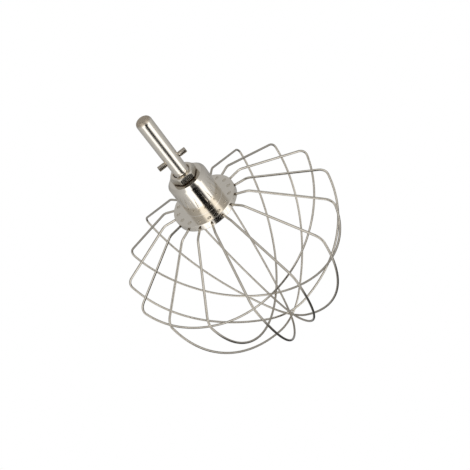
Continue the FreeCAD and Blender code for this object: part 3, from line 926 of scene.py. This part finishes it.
# %% Sweep a wire
def swept_wire():
    shape = Shape("swept_wire")
    vector_on_points = {"data_type": "FLOAT_VECTOR", "domain": "POINT"}
    radius = shape.size("Wire radius")
    sides = shape.size("Sides", "NodeSocketInt")
    path = shape.node("GeometryNodeMeshToCurve", {}, {"Mesh": shape.given()})
    length = shape.node("GeometryNodeSplineParameter", {}, {}, "Length")
    path = shape.node("GeometryNodeStoreNamedAttribute", {"data_type": "FLOAT", "domain": "POINT"}, {
        "Geometry": path, "Name": "along", "Value": length})
    section = shape.node("GeometryNodeCurvePrimitiveCircle", {"mode": "RADIUS"}, {
        "Resolution": sides, "Radius": radius})
    spot = shape.node("GeometryNodeInputPosition")
    way_round = shape.node("ShaderNodeVectorMath", {"operation": "NORMALIZE"}, {0: spot})
    section = shape.node("GeometryNodeStoreNamedAttribute", vector_on_points, {
        "Geometry": section, "Name": "round_the_wire", "Value": way_round})
    tube = shape.node("GeometryNodeCurveToMesh", {}, {
        "Curve": path, "Profile Curve": section, "Fill Caps": True})
    along = shape.node("GeometryNodeInputNamedAttribute", {"data_type": "FLOAT"}, {"Name": "along"})
    circle = shape.node("GeometryNodeInputNamedAttribute", {"data_type": "FLOAT_VECTOR"}, {
        "Name": "round_the_wire"})
    lift = shape.node("ShaderNodeCombineXYZ", {}, {"Z": along})
    skin = shape.node("ShaderNodeVectorMath", {"operation": "ADD"}, {0: circle, 1: lift})
    tube = shape.node("GeometryNodeStoreNamedAttribute", vector_on_points, {
        "Geometry": tube, "Name": "skin", "Value": skin})
    shape.output(tube, wire_finish)
    return shape


WIRE_SIDES = 16
WIRE_SHARP_FROM = 50
wire_sweep = swept_wire()
for number in range(1, LOOP_COUNT + 1):
    wire_mesh = grown(wire_sweep, loop_path(number), {"Wire radius": WIRE_RADIUS, "Sides": WIRE_SIDES})
    add_piece("wire_%d" % number, wire_mesh, wire_finish, "whisk",
              "wire_loop_%d" % number, WIRE_SHARP_FROM)

# %% [markdown]
# Polished metal shows its surroundings, so the studio is built as a light tent: a dome seen only in
# reflections. Its brightness follows the direction. The walls are grey, a little brighter in front, with
# soft lamps high at both sides and one behind, and they darken near the floor and straight above. In front
# stand two tall white panels with a dark gap between them, which draw the bright and dark stripes down the
# shaft and the hub. Over the heights that the shaft mirrors, the gap leans aside, so its stripe there is
# not in line with the hub's. The floor and the backdrop are plain and white, and only the camera sees
# them, so they add no glare.

# %% Light tent and backdrop
TENT_RADIUS = 3.0
BACKDROP_RADIUS = 6.0
TENT_CENTRE = Vector((0, 0, FLANGE_TOP))
WALL_GLOW = 0.52
FRONT_GLOW = 0.16
LIT_HEIGHTS = (-56, 80, 16)
DIM_SHARE = 0.15
SIDE_LAMPS = {"glow": 0.5, "turn": (55, 125, 30), "height": (52, 78, 10)}
BACK_LAMP = {"glow": 0.16, "turn": (140, 220, 30), "height": (8, 66, 20)}
PANELS = {"glow": 1.0, "turn": (-54, 56, 14), "height": (-60, 62, 16)}
GAP_GLOW = 0.012
GAP_LEFT = -16
GAP_LEFT_SOFTNESS = 6
GAP_RIGHT = 27
GAP_RIGHT_SOFTNESS = 16
GAP_LEAN = 12
LEAN_HEIGHTS = (-32, -15, 3)
HALF_ROUND = 180
WHITE = (1.0, 1.0, 1.0, 1.0)


def between(value, low, high, soft):
    """One between two limits, falling off softly on both sides."""
    rise = min(max((value - low) / soft + 0.5, 0.0), 1.0)
    drop = min(max((high - value) / soft + 0.5, 0.0), 1.0)
    return (rise * rise * (3 - 2 * rise)) * (drop * drop * (3 - 2 * drop))


def lamp(spot, azimuth, elevation):
    """Light of a lamp or panel in a direction. Its limits are low, high and softness, in degrees."""
    return spot["glow"] * between(azimuth, *spot["turn"]) * between(elevation, *spot["height"])


def tent_glow(azimuth, elevation):
    """Brightness of the tent in a direction, both angles in degrees, azimuth 0 in front."""
    glow = WALL_GLOW + FRONT_GLOW * math.cos(math.radians(azimuth))
    glow += lamp(SIDE_LAMPS, abs(azimuth), elevation) + lamp(BACK_LAMP, abs(azimuth), elevation)
    glow *= DIM_SHARE + (1 - DIM_SHARE) * between(elevation, *LIT_HEIGHTS)
    glow += lamp(PANELS, azimuth, elevation)
    lean = GAP_LEAN * between(elevation, *LEAN_HEIGHTS)
    right_of_left = between(azimuth, GAP_LEFT - lean, HALF_ROUND, GAP_LEFT_SOFTNESS)
    left_of_right = between(azimuth, -HALF_ROUND, GAP_RIGHT - lean, GAP_RIGHT_SOFTNESS)
    gap = right_of_left * left_of_right * between(elevation, *PANELS["height"])
    return glow * (1 - gap) + GAP_GLOW * gap


def dome(name, radius, columns=144, rows=72):
    """A ball round the hub, seen from inside, with the tent's glow stored on its points."""
    mesh = bpy.data.meshes.new(name)
    build = bmesh.new()
    bmesh.ops.create_uvsphere(build, u_segments=columns, v_segments=rows, radius=radius)
    bmesh.ops.reverse_faces(build, faces=build.faces)
    build.to_mesh(mesh)
    build.free()
    glow = mesh.attributes.new("glow", "FLOAT", "POINT")
    for vertex in mesh.vertices:
        azimuth = math.degrees(math.atan2(vertex.co.y, vertex.co.x))
        elevation = math.degrees(math.asin(max(-1.0, min(1.0, vertex.co.z / radius))))
        glow.data[vertex.index].value = tent_glow(azimuth, elevation)
    mesh.transform(Matrix.Translation(TENT_CENTRE))
    item = bpy.data.objects.new(name, mesh)
    bpy.context.scene.collection.objects.link(item)
    return item


def glowing(name, attribute=None):
    """A material that only gives white light, evenly or by an attribute."""
    material = bpy.data.materials.new(name)
    material.use_nodes = True
    recipe = Recipe(material.node_tree)
    recipe.tree.nodes.clear()
    strength = 1.0
    if attribute:
        strength = recipe.node("ShaderNodeAttribute", {"attribute_name": attribute}, {}, "Fac")
    light = recipe.node("ShaderNodeEmission", {}, {"Color": WHITE, "Strength": strength})
    leave = recipe.tree.nodes.new("ShaderNodeOutputMaterial")
    recipe.plug(leave.inputs["Surface"], light)
    material.cycles.emission_sampling = "NONE"
    return material


tent = dome("light_tent", TENT_RADIUS)
tent.data.materials.append(glowing("tent_light", "glow"))
tent.visible_camera = False
tent.visible_shadow = False

backdrop = dome("pale_backdrop", BACKDROP_RADIUS)
backdrop.data.materials.append(glowing("pale_paper"))

FLOOR_HEIGHT = cad_low.z - 20 * MM
FLOOR_RADIUS = 2.0
FLOOR_THICKNESS = 1.0 * MM
FLOOR_SEGMENTS = 64


def floor_disc():
    """A round floor under the whisk."""
    foot = FLOOR_HEIGHT - FLOOR_THICKNESS
    outline = [(0, FLOOR_HEIGHT), (FLOOR_RADIUS, FLOOR_HEIGHT), (FLOOR_RADIUS, foot), (0, foot)]
    item = bpy.data.objects.new("pale_floor", turned("pale_floor", outline, FLOOR_SEGMENTS))
    bpy.context.scene.collection.objects.link(item)
    return item


floor = floor_disc()
floor.data.materials.append(glowing("pale_floor_paint"))
for item in (backdrop, floor):
    item.visible_glossy = False
    item.visible_diffuse = False
    item.visible_shadow = False
print("light tent", len(tent.data.polygons), "panels")

# %% [markdown]
# The world behind everything stays a dim grey, a fallback for rays that find no tent. The view transform
# is Standard, because a filmic curve would turn the white paper grey and flatten the bright stripes.

# %% World and colour
DIM_GREY = (0.4, 0.4, 0.4, 1.0)
world = bpy.data.worlds.new("dim_room")
bpy.context.scene.world = world
world.use_nodes = True
world.node_tree.nodes["Background"].inputs["Color"].default_value = DIM_GREY
bpy.context.scene.view_settings.view_transform = "Standard"
bpy.context.scene.view_settings.look = "None"

# %% [markdown]
# The camera looks down at the hub from the front, tilted so that the shaft points to the upper left. Its
# direction is two angles: how steeply it looks down, and how far it is rolled about its own line of
# sight. A longish lens keeps the cage from bulging.

# %% Camera
LOOK_DOWN = math.radians(40.03)
ROLL = math.radians(52.72)
CAMERA_PLACE = Vector((361.8, 2.5, 225.4)) * MM
LENS = 55.16
SENSOR = 36.0
NEAREST = 0.01
FARTHEST = 50.0

forward = Vector((-math.cos(LOOK_DOWN), 0, -math.sin(LOOK_DOWN)))
level_up = Vector((-math.sin(LOOK_DOWN), 0, math.cos(LOOK_DOWN)))
level_right = Vector((0, 1, 0))
right = level_right * math.sin(ROLL) - level_up * math.cos(ROLL)
up = right.cross(forward)
camera_data = bpy.data.cameras.new("camera")
camera_data.lens = LENS
camera_data.sensor_width = SENSOR
camera_data.clip_start = NEAREST
camera_data.clip_end = FARTHEST
camera = bpy.data.objects.new("camera", camera_data)
turn = Matrix((right, up, -forward)).transposed().to_4x4()
camera.matrix_world = Matrix.Translation(CAMERA_PLACE) @ turn
bpy.context.scene.collection.objects.link(camera)
bpy.context.scene.camera = camera
print("camera", round((CAMERA_PLACE - TENT_CENTRE).length / MM), "mm from the hub")
